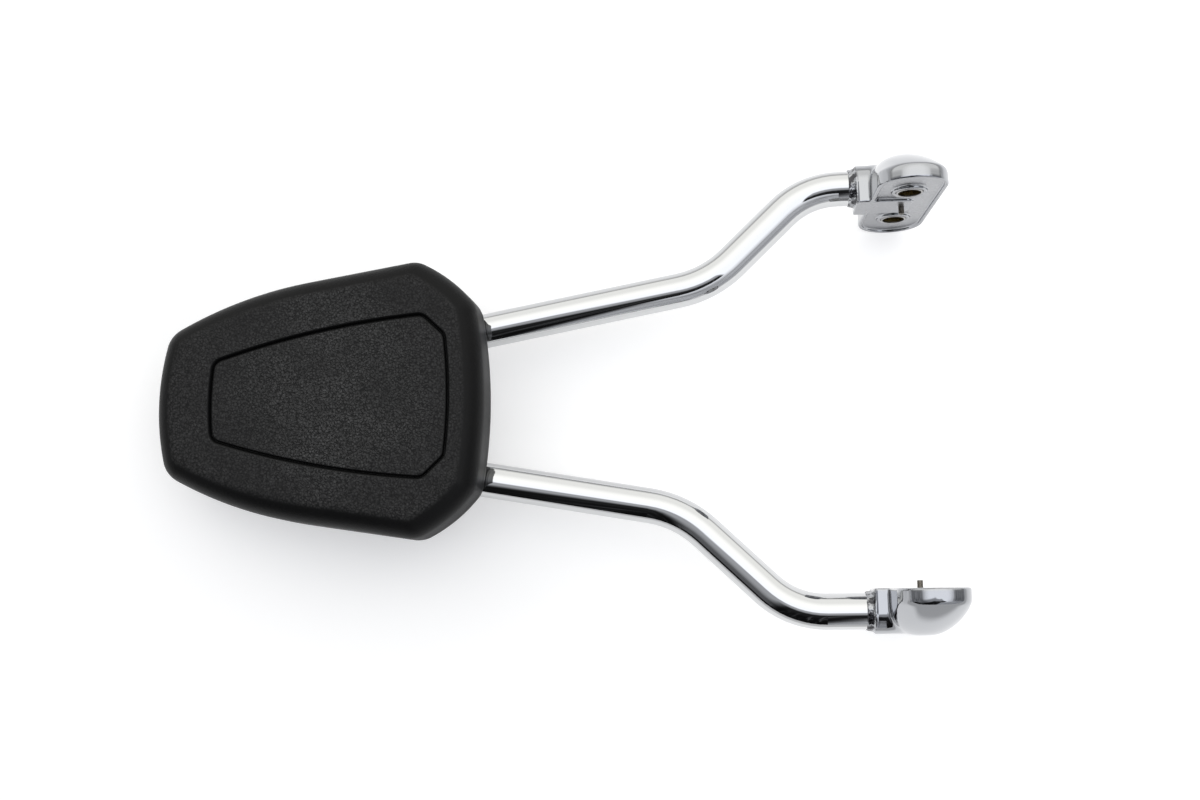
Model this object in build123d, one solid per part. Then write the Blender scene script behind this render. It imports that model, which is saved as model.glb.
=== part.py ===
from build123d import *
from math import asin, atan2, cos, degrees, hypot, radians, sin, tan
import os

# Motorcycle back rest: a bent tube hoop on two cast feet, with a moulded pad.
# The bar is drawn flat and then laid down as it rests on a table. While it is flat, heights run
# along -X from the feet's centres to the pad's top, +Y is the rider's left, and +Z is the pad's front.
# All sizes are in millimetres and degrees.

# Hoop tube
TUBE_OD = 22.0
TUBE_WALL = 2.0
FOOT_HALF_SPACING = 131.9
LEG_HALF_SPACING = 48.8
LEG_SPLAY = 10.05
JOG_ANGLE = 43.6
LEFT_JOG_HEIGHT = 59.6
RIGHT_JOG_HEIGHT = 76.7
JOG_LOWER_RADIUS = 51.0
JOG_UPPER_RADIUS = 66.0
HOOP_HALF_WIDTH = 38.0
HOOP_TOP = 442.0
HOOP_EASE_RADIUS = 90.0
HOOP_CORNER_RADIUS = 33.0

# Cast feet
FOOT_LENGTH = 118.0
FOOT_WIDTH = 42.0
FOOT_THICKNESS = 28.0
FOOT_WALL = 8.6
FOOT_RAKE = 2.83
TUBE_SEAT_DEPTH = 13.5
CREST_LENGTH = 30.0
CREST_WIDTH = 8.0
CREST_BACK = 1.2
DOME_STEPS = 4
FOOT_EDGE_ROUND = 1.0
COLLAR_REACH = 33.2
COLLAR_HALF_HEIGHT = 14.0
COLLAR_DEPTH = 27.2
COLLAR_BACK_FLAT = 2.0
NECK_LENGTH = 4.4
NECK_WALL = 0.6
NECK_FLARE = 0.8
SHOULDER_ROUND = 0.9
SOCKET_DEPTH = 17.6
RIM_WIDTH = 2.6
RECESS_DEPTH = 2.0
BOSS_OD = 21.0
RIB_HALF_HEIGHT = 12.5
RIB_REACH = 6.0
RIB_ROUND = 5.0

# Bushes and locating pins
BUSH_SPACING = 56.0
BUSH_OD = 16.0
BUSH_BORE = 13.8
BUSH_LENGTH = 14.5
BUSH_CHAMFER = 0.3
SEAT_CHAMFER = 0.5
DRILL_POINT = 140.0
PIN_OD = 3.5
PIN_HOLE = 3.2
PIN_WALL = 0.7
PIN_SLOT = 0.6
PIN_SEAT = 8.0
PIN_PROUD = 4.5

# Pad outline, as heights above its lower edge and half widths
PAD_LOWER_EDGE = 259.0
PAD_LENGTH = 205.4
PAD_LOWER_BOW = 5.3
PAD_LOWER_HALF_WIDTH = 57.0
PAD_CHAMFER_BOW = 3.0
PAD_HIP_RISE = 42.0
PAD_HIP_HALF_WIDTH = 86.0
PAD_WAIST_RISE = 112.0
PAD_WAIST_HALF_WIDTH = 75.0
PAD_TOP_BOW = 6.5
PAD_TOP_HALF_WIDTH = 44.0
PAD_CORNER_ROUND = 17.0
PAD_SHOULDER_ROUND = 20.0
PAD_THICKNESS = 36.0
PAD_FRONT_ROUND = 15.0

# Groove that outlines the pad's centre panel
PANEL_RISE = 20.4
PANEL_LENGTH = 147.2
PANEL_LOWER_BOW = 2.4
PANEL_LOWER_HALF_WIDTH = 37.0
PANEL_HIP_RISE = 15.6
PANEL_HIP_HALF_WIDTH = 49.4
PANEL_SIDE_BOW = 4.2
PANEL_TOP_BOW = 1.8
PANEL_TOP_HALF_WIDTH = 23.8
PANEL_CORNER_ROUND = 7.0
GROOVE_WIDTH = 2.0
GROOVE_DEPTH = 2.5

# Pad base plate and its fixings
BASE_MARGIN = 8.0
BASE_THICKNESS = 5.0
STRAP_WIDTH = 26.0
STRAP_THICKNESS = 4.0
STRAP_LAND = 4.0
LOWER_STRAP_RISE = 39.0
UPPER_STRAP_RISE = 141.0
SCREW_HALF_SPACING = 18.0
SCREW_OD = 6.0
SCREW_LENGTH = 12.0
SCREW_HEAD_OD = 10.5
SCREW_HEAD_HEIGHT = 3.3
SCREW_HEAD_ROUND = 2.0
SCREW_KEY = 4.0
SCREW_KEY_DEPTH = 2.0
SCREW_HOLE = 6.6
WASHER_OD = 14.0
WASHER_THICKNESS = 1.6
NUT_BARREL_OD = 8.0
NUT_FLANGE_OD = 17.0
NUT_FLANGE_THICKNESS = 1.5

# Clearances
FIT_GAP = 0.05
WELD_GAP = 0.1
PAD_SEAT_GAP = 0.2

# Places that follow from the sizes above
TUBE_RADIUS = TUBE_OD / 2
FOOT_FACE = FOOT_HALF_SPACING - TUBE_SEAT_DEPTH
FOOT_ARC_OFFSET = (FOOT_LENGTH - FOOT_WIDTH) / 2
SOCKET_FLOOR = COLLAR_REACH - SOCKET_DEPTH
PAD_BACK = TUBE_RADIUS + PAD_SEAT_GAP
LOWER_STRAP_HEIGHT = PAD_LOWER_EDGE + LOWER_STRAP_RISE
UPPER_STRAP_HEIGHT = PAD_LOWER_EDGE + UPPER_STRAP_RISE
STRAP_BACK = PAD_BACK - STRAP_THICKNESS
WASHER_BACK = STRAP_BACK - WASHER_THICKNESS
CAST_FACE = Plane(origin=(0, 0, 0), x_dir=(1, 0, 0), z_dir=(0, 1, 0))


def spot(height, side, depth=0.0):
    return Vector(-height, side, depth)


# Hoop tube


def leg_offset(height):
    return LEG_HALF_SPACING + (PAD_LOWER_EDGE - height) * tan(radians(LEG_SPLAY))


def leg_corner_height(jog_height):
    """Height where the jogged run meets the splayed leg."""
    jog = tan(radians(JOG_ANGLE))
    splay = tan(radians(LEG_SPLAY))
    spread = FOOT_HALF_SPACING + jog_height * jog - leg_offset(0)
    return spread / (jog - splay)


def leg_points(jog_height, side):
    """Corners of one leg, from its end in the foot's socket up to the hoop's top."""
    upper = leg_corner_height(jog_height)
    ease = PAD_LOWER_EDGE + (LEG_HALF_SPACING - HOOP_HALF_WIDTH) / tan(radians(LEG_SPLAY))
    return [
        spot(SOCKET_FLOOR + FIT_GAP, side * FOOT_HALF_SPACING),
        spot(jog_height, side * FOOT_HALF_SPACING),
        spot(upper, side * leg_offset(upper)),
        spot(ease, side * HOOP_HALF_WIDTH),
        spot(HOOP_TOP, side * HOOP_HALF_WIDTH),
    ]


def hoop_sweep(radius):
    """Solid round bar of the given radius along the hoop's centre line."""
    corners = leg_points(LEFT_JOG_HEIGHT, 1) + leg_points(RIGHT_JOG_HEIGHT, -1)[::-1]
    leg_radii = [JOG_LOWER_RADIUS, JOG_UPPER_RADIUS, HOOP_EASE_RADIUS, HOOP_CORNER_RADIUS]
    path = FilletPolyline(*corners, radius=leg_radii + leg_radii[::-1])
    start = Plane(origin=path @ 0, z_dir=path % 0)
    return sweep(start * Circle(radius), path=path)


def hoop_tube():
    return hoop_sweep(TUBE_RADIUS) - hoop_sweep(TUBE_RADIUS - TUBE_WALL)


# Cast feet, drawn with the flat face on y = 0, the tube coming in along x and the holes along z


def dome_section(turn):
    """Outline of the domed back at a turn of its quarter arc, from the wall (0) to the crest (90)."""
    depth = FOOT_WALL + (FOOT_THICKNESS - FOOT_WALL) * sin(radians(turn))
    width = CREST_WIDTH + (FOOT_WIDTH - CREST_WIDTH) * cos(radians(turn))
    length = FOOT_LENGTH - (FOOT_LENGTH - CREST_LENGTH) * sin(radians(turn))
    back = CREST_BACK * sin(radians(turn))
    return Pos(-back, depth, 0) * (CAST_FACE * SlotOverall(length, width, rotation=90))


def foot_head():
    """Upright pill-shaped plate with a domed back that slopes to its two ends."""
    plate = extrude(CAST_FACE * SlotOverall(FOOT_LENGTH, FOOT_WIDTH, rotation=90), FOOT_WALL)
    head = plate + loft([dome_section(90 * i / DOME_STEPS) for i in range(DOME_STEPS + 1)])
    rim = head.edges().filter_by_position(Axis.Y, -FIT_GAP, FIT_GAP)
    return fillet(rim, FOOT_EDGE_ROUND)


def across_tube(reach, depth):
    """Plane square to the tube, at a reach from the foot's centre and a depth behind its face."""
    return Plane(origin=(-reach, depth, 0), x_dir=(0, 1, 0), z_dir=(1, 0, 0))


def foot_collar():
    """Round-backed block about the tube's end, with a flared neck where the tube comes out."""
    block_reach = COLLAR_REACH - NECK_LENGTH
    section = Pos(COLLAR_DEPTH / 2, 0) * Rectangle(COLLAR_DEPTH, 2 * COLLAR_HALF_HEIGHT)
    section = fillet(section.vertices().sort_by(Axis.X)[-2:], COLLAR_HALF_HEIGHT - COLLAR_BACK_FLAT / 2)
    block = extrude(across_tube(block_reach, 0) * section, block_reach)
    block = fillet(block.faces().sort_by(Axis.X)[0].edges(), SHOULDER_ROUND)
    neck_radius = TUBE_RADIUS + NECK_WALL
    mouth = across_tube(COLLAR_REACH, TUBE_SEAT_DEPTH) * Circle(neck_radius)
    root = across_tube(block_reach, TUBE_SEAT_DEPTH) * Circle(neck_radius + NECK_FLARE)
    return block + loft([mouth, root])


def face_recess():
    """Shallow pocket inside the rim, leaving the hole bosses and the rib on the tube's line."""
    length = FOOT_LENGTH - 2 * RIM_WIDTH
    width = FOOT_WIDTH - 2 * RIM_WIDTH
    pocket = SlotOverall(length, width, rotation=90)
    pocket -= Locations((0, BUSH_SPACING / 2), (0, -BUSH_SPACING / 2)) * Circle(BOSS_OD / 2)
    rib_length = FOOT_WIDTH / 2 + RIB_REACH
    rib = RectangleRounded(rib_length, 2 * RIB_HALF_HEIGHT, RIB_ROUND)
    pocket -= Pos(RIB_REACH - rib_length / 2, 0) * rib
    return extrude(CAST_FACE * pocket, RECESS_DEPTH)


def pin_hole():
    return extrude(CAST_FACE * Circle(PIN_HOLE / 2 + FIT_GAP), PIN_SEAT)


def bush_seat(end):
    """Drilled blind hole for the front (1) or rear (-1) bush, with a lead-in at its mouth."""
    radius = BUSH_OD / 2 + FIT_GAP
    point = BUSH_LENGTH + radius / tan(radians(DRILL_POINT / 2))
    profile = Polyline(
        (0, 0),
        (radius + SEAT_CHAMFER, 0),
        (radius, SEAT_CHAMFER),
        (radius, BUSH_LENGTH),
        (0, point),
        close=True,
    )
    return Pos(0, 0, end * BUSH_SPACING / 2) * revolve(make_face(profile), axis=Axis.Y)


def foot():
    """Left foot; its head leans by the rake and its collar follows the tube."""
    lean = Rot(Y=FOOT_RAKE)
    casting = lean * foot_head() + foot_collar()
    casting -= lean * face_recess()
    for end in (1, -1):
        casting -= lean * bush_seat(end)
    casting -= lean * pin_hole()
    mouth = across_tube(COLLAR_REACH, TUBE_SEAT_DEPTH)
    return casting - extrude(mouth * Circle(TUBE_RADIUS + FIT_GAP), SOCKET_DEPTH)


# Bushes and locating pins


def bush(end):
    """Sleeve in the front (1) or rear (-1) hole of the left foot."""
    ring = Circle(BUSH_OD / 2) - Circle(BUSH_BORE / 2)
    sleeve = extrude(CAST_FACE * ring, BUSH_LENGTH)
    mouth = sleeve.faces().sort_by(Axis.Y)[0]
    sleeve = chamfer(mouth.edges().sort_by(SortBy.RADIUS)[-1], BUSH_CHAMFER)
    return Rot(Y=FOOT_RAKE) * Pos(0, 0, end * BUSH_SPACING / 2) * sleeve


def locating_pin():
    """Slotted spring pin, squeezed where it is driven into the left foot."""
    hollow = Circle(PIN_HOLE / 2 - PIN_WALL) + Pos(PIN_OD / 2, 0) * Rectangle(PIN_OD, PIN_SLOT)
    tail = extrude(CAST_FACE * (Circle(PIN_HOLE / 2) - hollow), PIN_SEAT)
    tip = extrude(CAST_FACE * (Circle(PIN_OD / 2) - hollow), PIN_PROUD)
    return Rot(Y=FOOT_RAKE) * (tail + Pos(0, -PIN_PROUD, 0) * tip)


def on_left(shape):
    return Pos(0, FOOT_FACE, 0) * shape


def on_right(shape):
    return mirror(on_left(shape), about=Plane.XZ)


# Pad


def pad_spot(rise, side):
    return spot(PAD_LOWER_EDGE + rise, side)


def other_side(point):
    return Vector(point.X, -point.Y, point.Z)


def both_sides(points):
    return points + [other_side(point) for point in points]


def inward(edge):
    return Vector(-edge.Y, edge.X).normalized()


def inset(left, margin):
    """Left-hand corners of a symmetric outline, moved in so that each edge shifts by the margin."""
    ring = left + [other_side(point) for point in left[::-1]]
    moved = []
    for before, point, after in zip(ring[-1:] + ring, left, ring[1:]):
        first = inward(point - before)
        second = inward(after - point)
        moved.append(point + (first + second) * (margin / (1 + first.dot(second))))
    return moved


def closed_outline(side, top, top_bow, low, low_bow):
    """Face between a left side, its mirror image and two bowed ends."""
    top_edge = SagittaArc(top, other_side(top), -top_bow)
    low_edge = SagittaArc(other_side(low), low, -low_bow)
    return make_face(side + [mirror(edge, about=Plane.XZ) for edge in side] + [top_edge, low_edge])


def round_corners(outline, corners, radius):
    picked = [outline.vertices().sort_by_distance(corner)[0] for corner in corners]
    return fillet(picked, radius)


def pad_outline(margin=0.0):
    """Front view of the pad: a bowed lower edge, broad hips, and sides that draw in to the top."""
    corners = [
        pad_spot(PAD_LOWER_BOW, PAD_LOWER_HALF_WIDTH),
        pad_spot(PAD_HIP_RISE, PAD_HIP_HALF_WIDTH),
        pad_spot(PAD_WAIST_RISE, PAD_WAIST_HALF_WIDTH),
        pad_spot(PAD_LENGTH - PAD_TOP_BOW, PAD_TOP_HALF_WIDTH),
    ]
    low, hip, waist, top = inset(corners, margin)
    side = [
        SagittaArc(low, hip, -PAD_CHAMFER_BOW),
        Line(hip, waist),
        TangentArc(waist, top, tangent=waist - hip),
    ]
    outline = closed_outline(side, top, PAD_TOP_BOW, low, PAD_LOWER_BOW)
    outline = round_corners(outline, both_sides([low, hip]), PAD_CORNER_ROUND - margin)
    return round_corners(outline, both_sides([top]), PAD_SHOULDER_ROUND - margin)


def panel_outline(margin):
    """Line of the groove round the pad's panel, moved in by a margin."""
    corners = [
        pad_spot(PANEL_RISE + PANEL_LOWER_BOW, PANEL_LOWER_HALF_WIDTH),
        pad_spot(PANEL_RISE + PANEL_HIP_RISE, PANEL_HIP_HALF_WIDTH),
        pad_spot(PANEL_RISE + PANEL_LENGTH - PANEL_TOP_BOW, PANEL_TOP_HALF_WIDTH),
    ]
    low, hip, top = inset(corners, margin)
    side = [Line(low, hip), SagittaArc(hip, top, -PANEL_SIDE_BOW)]
    outline = closed_outline(side, top, PANEL_TOP_BOW, low, PANEL_LOWER_BOW)
    return round_corners(outline, both_sides([low, hip, top]), PANEL_CORNER_ROUND - margin)


def panel_groove():
    """Narrow groove cut down from the pad's face."""
    ring = panel_outline(-GROOVE_WIDTH / 2) - panel_outline(GROOVE_WIDTH / 2)
    return extrude(Pos(0, 0, PAD_BACK + PAD_THICKNESS - GROOVE_DEPTH) * ring, GROOVE_DEPTH)


def pad_cushion(inserts):
    """Moulded pad with a rounded front, a panel groove and its fixings moulded into the back."""
    block = extrude(Pos(0, 0, PAD_BACK) * pad_outline(), PAD_THICKNESS)
    block = fillet(block.faces().sort_by(Axis.Z)[-1].edges(), PAD_FRONT_ROUND)
    block -= panel_groove()
    for insert in inserts:
        block -= insert
    return block


def screw_spots():
    heights = (LOWER_STRAP_HEIGHT, UPPER_STRAP_HEIGHT)
    return [spot(height, side * SCREW_HALF_SPACING) for height in heights for side in (1, -1)]


def column(radius, bottom, height):
    """Round column at every screw."""
    return [Pos(p.X, p.Y, bottom) * extrude(Circle(radius), height) for p in screw_spots()]


def less(shape, cutters):
    for cutter in cutters:
        shape -= cutter
    return shape


def base_board():
    return extrude(Pos(0, 0, PAD_BACK) * pad_outline(BASE_MARGIN), BASE_THICKNESS)


def base_plate():
    return less(base_board(), column(NUT_BARREL_OD / 2 + FIT_GAP, PAD_BACK, BASE_THICKNESS))


def t_nuts():
    """Flanged nuts whose barrels stand in the base plate."""
    reach = BASE_THICKNESS + NUT_FLANGE_THICKNESS
    profile = Circle(NUT_BARREL_OD / 2) - Circle(SCREW_OD / 2 + FIT_GAP)
    flange = Circle(NUT_FLANGE_OD / 2) - Circle(SCREW_OD / 2 + FIT_GAP)
    nut = extrude(profile, reach)
    nut += Pos(0, 0, BASE_THICKNESS) * extrude(flange, NUT_FLANGE_THICKNESS)
    return [Pos(p.X, p.Y, PAD_BACK) * nut for p in screw_spots()]


def screws():
    """Button-head screws driven from behind the straps."""
    dome = Circle(SCREW_HEAD_OD / 2)
    head = extrude(dome, SCREW_HEAD_HEIGHT)
    head = fillet(head.faces().sort_by(Axis.Z)[0].edges(), SCREW_HEAD_ROUND)
    key = RegularPolygon(SCREW_KEY / 2, 6, major_radius=False)
    head -= extrude(key, SCREW_KEY_DEPTH)
    screw = head + Pos(0, 0, SCREW_HEAD_HEIGHT) * extrude(Circle(SCREW_OD / 2), SCREW_LENGTH)
    return [Pos(p.X, p.Y, WASHER_BACK - SCREW_HEAD_HEIGHT) * screw for p in screw_spots()]


def washers():
    ring = Circle(WASHER_OD / 2) - Circle(SCREW_HOLE / 2)
    washer = extrude(ring, WASHER_THICKNESS)
    return [Pos(p.X, p.Y, WASHER_BACK) * washer for p in screw_spots()]


def strap(height, half_spacing, hoop_body):
    """Flat bar let in between the hoop's legs, flush with the pad's back."""
    bar = Box(STRAP_WIDTH, 2 * (half_spacing - STRAP_LAND), STRAP_THICKNESS)
    bar = Pos(-height, 0, PAD_BACK - STRAP_THICKNESS / 2) * bar
    bar = less(bar, column(SCREW_HOLE / 2, STRAP_BACK, STRAP_THICKNESS))
    return bar - hoop_body


# Assembly


def rest_tilt():
    """Angle at which the feet's lower ends and the hoop's top lie on one level."""
    rake = radians(FOOT_RAKE)
    rise = FOOT_ARC_OFFSET * cos(rake)
    run = HOOP_TOP - FOOT_ARC_OFFSET * sin(rake)
    return atan2(rise, run) + asin((FOOT_WIDTH / 2 - TUBE_RADIUS) / hypot(rise, run))


def sub_parts():
    left_foot = foot()
    front_bush = bush(1)
    rear_bush = bush(-1)
    pin = locating_pin()
    nuts = t_nuts()
    weld_body = hoop_sweep(TUBE_RADIUS + WELD_GAP)
    shank_tips = column(SCREW_OD / 2 + FIT_GAP, PAD_BACK, BASE_THICKNESS + NUT_FLANGE_THICKNESS)
    return {
        "hoop_tube": hoop_tube(),
        "left_foot": on_left(left_foot),
        "right_foot": on_right(left_foot),
        "left_front_bush": on_left(front_bush),
        "left_rear_bush": on_left(rear_bush),
        "right_front_bush": on_right(front_bush),
        "right_rear_bush": on_right(rear_bush),
        "left_locating_pin": on_left(pin),
        "right_locating_pin": on_right(pin),
        "pad_cushion": pad_cushion([base_board()] + nuts + shank_tips),
        "pad_base_plate": base_plate(),
        "upper_strap": strap(UPPER_STRAP_HEIGHT, HOOP_HALF_WIDTH, weld_body),
        "lower_strap": strap(LOWER_STRAP_HEIGHT, leg_offset(LOWER_STRAP_HEIGHT), weld_body),
        "pad_screws": Compound(screws()),
        "pad_washers": Compound(washers()),
        "pad_t_nuts": Compound(nuts),
    }


def lay_down(parts):
    """Tilt every part to the resting pose, with the lowest point on z = 0 and the middle on x = 0."""
    tilt = rest_tilt()
    rise = HOOP_TOP * sin(tilt) + TUBE_RADIUS
    tilted = {name: Pos(0, 0, rise) * Rot(Y=-degrees(tilt)) * part for name, part in parts.items()}
    box = Compound(list(tilted.values())).bounding_box()
    middle = (box.min.X + box.max.X) / 2
    return {name: Pos(-middle, 0, 0) * part for name, part in tilted.items()}


def main():
    os.makedirs("parts", exist_ok=True)
    for name, part in lay_down(sub_parts()).items():
        export_step(part, f"parts/{name}.step")


main()
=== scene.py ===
import math

import bmesh
import bpy
from mathutils import Matrix, Vector


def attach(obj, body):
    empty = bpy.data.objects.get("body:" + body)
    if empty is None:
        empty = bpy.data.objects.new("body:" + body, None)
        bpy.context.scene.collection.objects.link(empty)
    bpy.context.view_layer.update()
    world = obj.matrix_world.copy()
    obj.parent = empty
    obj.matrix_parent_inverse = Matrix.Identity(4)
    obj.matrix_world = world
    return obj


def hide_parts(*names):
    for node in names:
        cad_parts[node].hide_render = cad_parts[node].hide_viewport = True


# Looks of a chromed motorcycle back rest that lies on a white table, pad up.
# Lengths are in metres unless a name ends in _MM, and angles in _DEG are in degrees.

MM = 0.001
LENGTHWAYS = (1, 0, 0)
CROSSWAYS = (0, 1, 0)

# How squarely a face has to look one way to count as flat
FLAT_ENOUGH = 0.9

# Camera of the photograph
CAMERA_AT = (0.022930, -0.117437, 0.822272)
CAMERA_TURN_DEG = (8.6027, -0.4205, -0.7479)
CAMERA_LENS_MM = 37.766
CAMERA_SENSOR_MM = 36.0

# How the bar lies: where the middle between the feet is, and how far the bar tips
FEET_MIDDLE = (0.220995, 0.0, 0.058933)
REST_TILT_DEG = 6.226
PAD_FACING = (-math.sin(math.radians(REST_TILT_DEG)), 0.0, math.cos(math.radians(REST_TILT_DEG)))

# Outline of the pad, as heights above its lower edge and half widths
PAD_LOWER_EDGE_MM = 259.0
PAD_LENGTH_MM = 205.4
PAD_HALF_WIDTH_MM = 86.0
PAD_LOW_HALF_MM = 57.0
PAD_HIP_RISE_MM = 42.0
PAD_SIDE_MM = (112.0, 75.0)
PAD_TOP_HALF_MM = 44.0
PAD_CORNER_ROUND_MM = 17.0
PAD_SHOULDER_ROUND_MM = 20.0
PAD_LOW_BOW_MM = 5.3
PAD_HIP_BOW_MM = 3.0
PAD_SIDE_BOW_MM = 4.28
PAD_TOP_BOW_MM = 6.5
OUTLINE_STEPS = 12

# Section of the pad, with the pocket in its back
PAD_BACK_MM = 11.2
PAD_THICKNESS_MM = 36.0
PAD_FRONT_ROUND_MM = 14.0
PAD_FRONT_STEPS = 10
RIM_STEP_MM = 0.12
PAD_CROWN_MM = 1.6
PAD_BACK_BEVEL_MM = 1.2
PAD_BACK_STEPS = 2
PARTING_RISE_MM = 6.0
PARTING_DEPTH_MM = 0.35
PLATE_MARGIN_MM = 7.85
PLATE_POCKET_MM = 6.7
POCKET_DRAFT_MM = 0.05

# Centre line of the groove round the pad's panel, as heights above the pad's lower edge and half widths
PANEL_LOW_MM = (22.8, 37.0)
PANEL_HIP_MM = (36.0, 49.4)
PANEL_TOP_MM = (165.8, 23.8)
PANEL_ROUND_MM = 7.0
PANEL_LOW_BOW_MM = 2.4
PANEL_SIDE_BOW_MM = 4.2
PANEL_TOP_BOW_MM = 1.8
PANEL_FACE_CUTS = 6
PANEL_CORE_SCALES = (0.8, 0.7, 0.6, 0.5)
BRIDGE_LIFT_MM = 4.0

# The groove itself: each step in from its outer lip, and how far it sinks
GROOVE_STEPS_MM = (
    (0.45, -0.08),
    (0.40, -0.30),
    (0.35, -0.75),
    (0.30, -1.00),
    (0.25, -0.60),
    (0.40, 0.00),
    (0.18, 0.70),
    (0.18, 0.75),
    (0.27, 0.45),
    (0.45, 0.13),
)
GROOVE_LIP_MM = 1.95

# Cast feet: where the flat face, the straight wall, the domed back, the arm and the neck lie
FOOT_FACE = 0.1184
FOOT_RECESS = 0.0024
FOOT_WALL = 0.0086
FOOT_LEAN_DEG = 3.396
FOOT_LENGTH_MM = 118.0
CREST_LENGTH_MM = 30.0
DOME_DEPTH_MM = 19.4
DOME_BULGE = 0.42
ARM_FROM = 0.1985
ARM_TO = 0.2065
NECK_FROM = 0.1866
NECK_TO = 0.1930
NECK_START = 0.001
NECK_END = 0.002

# How finely a casting is meshed, and how it is polished: all over, then ring by ring up its back
CAST_MERGE_MM = 0.001
CAST_GRID_MM = 0.55
POLISH_SHARE = 0.5
CAST_PASSES = 4
BACK_FROM = FOOT_FACE + FOOT_WALL / 3
BACK_PASSES = 12
BACK_RINGS = 4
BACK_RING_MM = 1.2

# Noises: how fine, how detailed and how rough each one is
PLATE_CLOUD = (45.0, 3.0, 0.5)
PLATE_RIPPLE = (60.0, 1.0, 0.5)
PLATE_GRAIN = (900.0, 2.0, 0.5)
CAST_GRAIN = (700.0, 4.0, 0.6)
WELD_BEADS = (210.0, 3.0, 0.6)
BRASS_PATCHES = (420.0, 4.0, 0.5)
STEEL_FILM = (380.0, 5.0, 0.6)
STEEL_GRAIN = (2200.0, 2.0, 0.5)
PLASTIC_CLOUD = (60.0, 3.0, 0.5)
PLASTIC_GRAIN = (1500.0, 3.0, 0.5)
SKIN_SPECKS = (640.0, 2.0, 0.65)
SKIN_CLOUD = (22.0, 3.0, 0.5)
ROOM_UNEVEN = (1.0, 3.0, 0.6)
NOISE_RANGE = (0.3, 0.7)

# Bumps: how strong and how deep each one is
WELD_BUMP = (0.45, 0.002)
STEEL_BUMP = (0.15, 0.0003)
PLASTIC_BUMP = (0.25, 0.0003)
SKIN_BUMP = (0.9, 0.0006)

# Chrome of the tube and the feet
PLATE_DEPTH = 0.0004
PLATE_GRAIN_HEIGHT = 0.02
HAZE_RANGE = (0.35, 0.75)
HAZE_LEVEL = (0.7, 1.6)
TUBE_COLOUR = (0.6, 0.605, 0.61, 1)
TUBE_HAZE = 0.035
TUBE_WAVE = 0.02
# painted shade: the feet's chrome is darker than the tube's so that it shows darker reflections
FOOT_SHADED_COLOUR = (0.40, 0.408, 0.425)
FOOT_HAZE = 0.06
FOOT_WAVE = 0.05
SATIN_COLOUR = (0.25, 0.25, 0.26)
SATIN_HAZE = 0.22
SATIN_GRAIN_HEIGHT = 0.16
WELD_HEIGHT = 1.6
SCORCH_COLOUR = (0.07, 0.07, 0.075)
SCORCH_RANGE = (0.42, 0.55)

# Bushes: how deep the plated lip reaches, how far down the hole they turn dark brown, and their colours
BUSH_LIP = 0.0012
BUSH_DARK_DEPTH = 0.010
BRASS_COLOUR = (0.42, 0.32, 0.13)
BRASS_ROUGHNESS = (0.25, 0.45)
HOLE_DARK_COLOUR = (0.10, 0.065, 0.02)
HOLE_DARK_LEVEL = (0.1, 0.9)
HOLE_DARK_PATCHES = 0.3
PLATED_COLOUR = (0.36, 0.355, 0.35)

# Steel and plastic; the two colours are the darkest and the lightest
FIXING_COLOURS = ((0.42, 0.41, 0.38), (0.56, 0.55, 0.52))
PIN_COLOURS = ((0.07, 0.06, 0.045), (0.26, 0.24, 0.21))
STEEL_ROUGHNESS = (0.22, 0.42)
PLASTIC_COLOURS = ((0.018, 0.018, 0.019), (0.03, 0.03, 0.031))
PLASTIC_ROUGHNESS = (0.45, 0.6)
PLASTIC_SHINE = 0.4

# The pad's skin, with a grain that stands out in the middle of the front and fades towards its edges; in
# the colour the grain is painted highlights, lightest in the middle of the front, and the sides are
# painted shade
SKIN_AND_GLINT_COLOURS = ((0.004, 0.004, 0.0042), (0.090, 0.090, 0.0905))
SKIN_ROUGHNESS = (0.42, 0.50)
SKIN_SHINE = 0.14
FRONT_FACING = (0.93, 0.996)
PEBBLE_SCALE = 560.0
PEBBLE_EDGE = (0.0, 0.28)
SPECK_RANGE = (0.40, 0.66)
SPECK_SHARE = 0.5
PATCH_RANGE = (0.3, 0.65)
PATCH_LEVEL = (0.5, 1.0)
GRAIN_AND_LIGHT_MIDDLE = (-0.138, 0.0, 0.06)
GRAIN_AND_LIGHT_REACH = 0.095
GRAIN_AND_LIGHT_AT_EDGE = 0.4
GRAIN_ON_SIDES = 0.1

# Stage: the table, with a painted pool of light about the bar that is brighter at the feet's end, where
# it lightens the feet's shadows
FLOOR_HALF = 12.0
FLOOR_COLOUR = (0.72, 0.72, 0.725, 1)
FLOOR_ROUGHNESS = 0.9
GLOW_COLOUR = (1, 1, 1, 1)
PAD_END_GLOW = 0.385
FOOT_END_GLOW = 0.58
GLOW_FROM = -0.05
GLOW_TO = 0.20
POOL_MIDDLE = (0.02, 0.10, 0.0)
POOL_FROM = 0.42
POOL_TO = 1.1
POOL_NEAR_EDGE = (-0.335, -0.258)
POOL_FAR_EDGE = (0.30, 0.38)
POOL_FAR_LEVEL = 0.5

# Studio that the chrome mirrors; heights and sides are parts of a direction of length 1
LIGHT_LEVEL = 1.7
LIGHT_HEIGHT = (0.55, 0.92)
LIGHT_TINT = (1.0, 0.995, 0.965)
SHADE_TINT = (0.93, 0.95, 1.0)
FAR_SIDE = (-0.15, 0.45)
FAR_WALL_LEVEL = 1.3
FAR_WALL_HEIGHT = (0.02, 0.22)
HORIZON_LEVEL = 0.6
NEAR_WALL_LEVEL = 0.62
BAND_PITCH = (2.0, 26.0)
BAND_RANGE = (0.40, 0.60)
BAND_LEVEL = (0.55, 1.25)

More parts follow.
